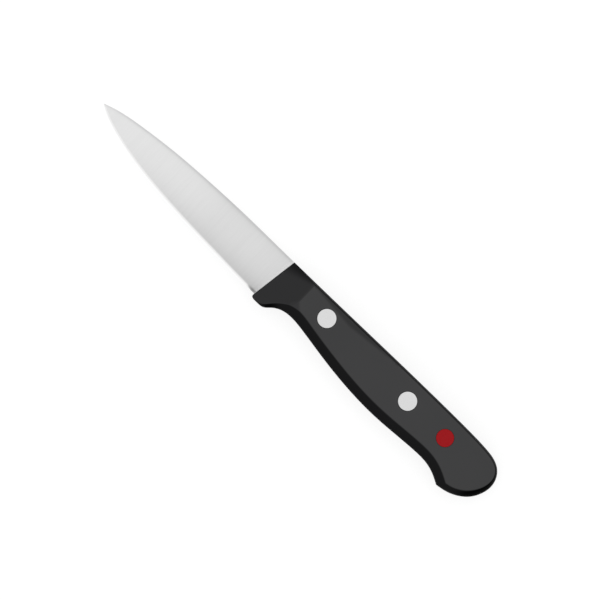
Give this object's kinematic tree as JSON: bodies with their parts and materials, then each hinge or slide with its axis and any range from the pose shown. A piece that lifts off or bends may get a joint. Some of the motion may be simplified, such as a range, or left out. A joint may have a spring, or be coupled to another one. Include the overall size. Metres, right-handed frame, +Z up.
{
  "type": "paring knife",
  "caption": "Small kitchen knife with a short pointed blade, a full tang and a riveted black handle with a hooked butt.",
  "frame": {"origin": "under the middle of the knife's outline, on the plane of the right scale's flat face, with the knife lying on its right side", "axes": "+X from the tip to the butt, +Y from the cutting edge towards the spine, +Z up out of the left side"},
  "size_m": [0.1818, 0.0213, 0.0125],
  "materials": {
    "blade_steel": "satin ground",
    "handle_plastic": "fine matte, polished edges",
    "rivet_metal": "polished flush with the handle",
    "inlay_plastic": "satin"
  },
  "bodies": {
    "root": {"blade_and_tang": "blade_steel", "left_scale": "handle_plastic", "right_scale": "handle_plastic", "front_rivet_socket": "rivet_metal", "front_rivet_stud": "rivet_metal", "rear_rivet_socket": "rivet_metal", "rear_rivet_stud": "rivet_metal", "colour_dot": "inlay_plastic"}
  },
  "joints": []
}
